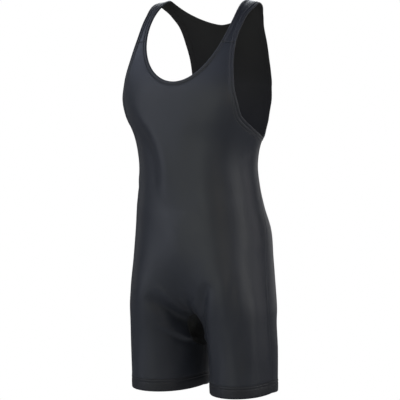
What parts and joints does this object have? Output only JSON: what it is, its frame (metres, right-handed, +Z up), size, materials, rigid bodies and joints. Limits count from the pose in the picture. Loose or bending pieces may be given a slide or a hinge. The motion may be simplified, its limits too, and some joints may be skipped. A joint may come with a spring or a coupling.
{
  "type": "gymnastics singlet",
  "caption": "Sleeveless one-piece sports singlet with mid-thigh legs, bound scoop neck and armholes, filled out hollow as if worn.",
  "frame": {"origin": "midway between the crests of the two shoulder straps, where the wearer's shoulders hold the garment", "axes": "+Z up, the chest faces -Y, the wearer's left is +X"},
  "size_m": [0.3276, 0.2423, 0.8098],
  "materials": {
    "charcoal_knit": "smooth satin stretch knit, charcoal",
    "gusset_knit": "satin stretch knit, near black",
    "binding_knit": "folded stretch binding, slightly lighter charcoal",
    "hem_knit": "turned-up stretch knit, charcoal"
  },
  "bodies": {
    "root": {"front_panel": "charcoal_knit", "back_panel": "charcoal_knit", "crotch_gusset": "gusset_knit", "front_neck_binding": "binding_knit", "back_neck_binding": "binding_knit", "left_front_arm_binding": "binding_knit", "left_back_arm_binding": "binding_knit", "right_front_arm_binding": "binding_knit", "right_back_arm_binding": "binding_knit", "left_leg_hem": "hem_knit", "right_leg_hem": "hem_knit"}
  },
  "joints": []
}
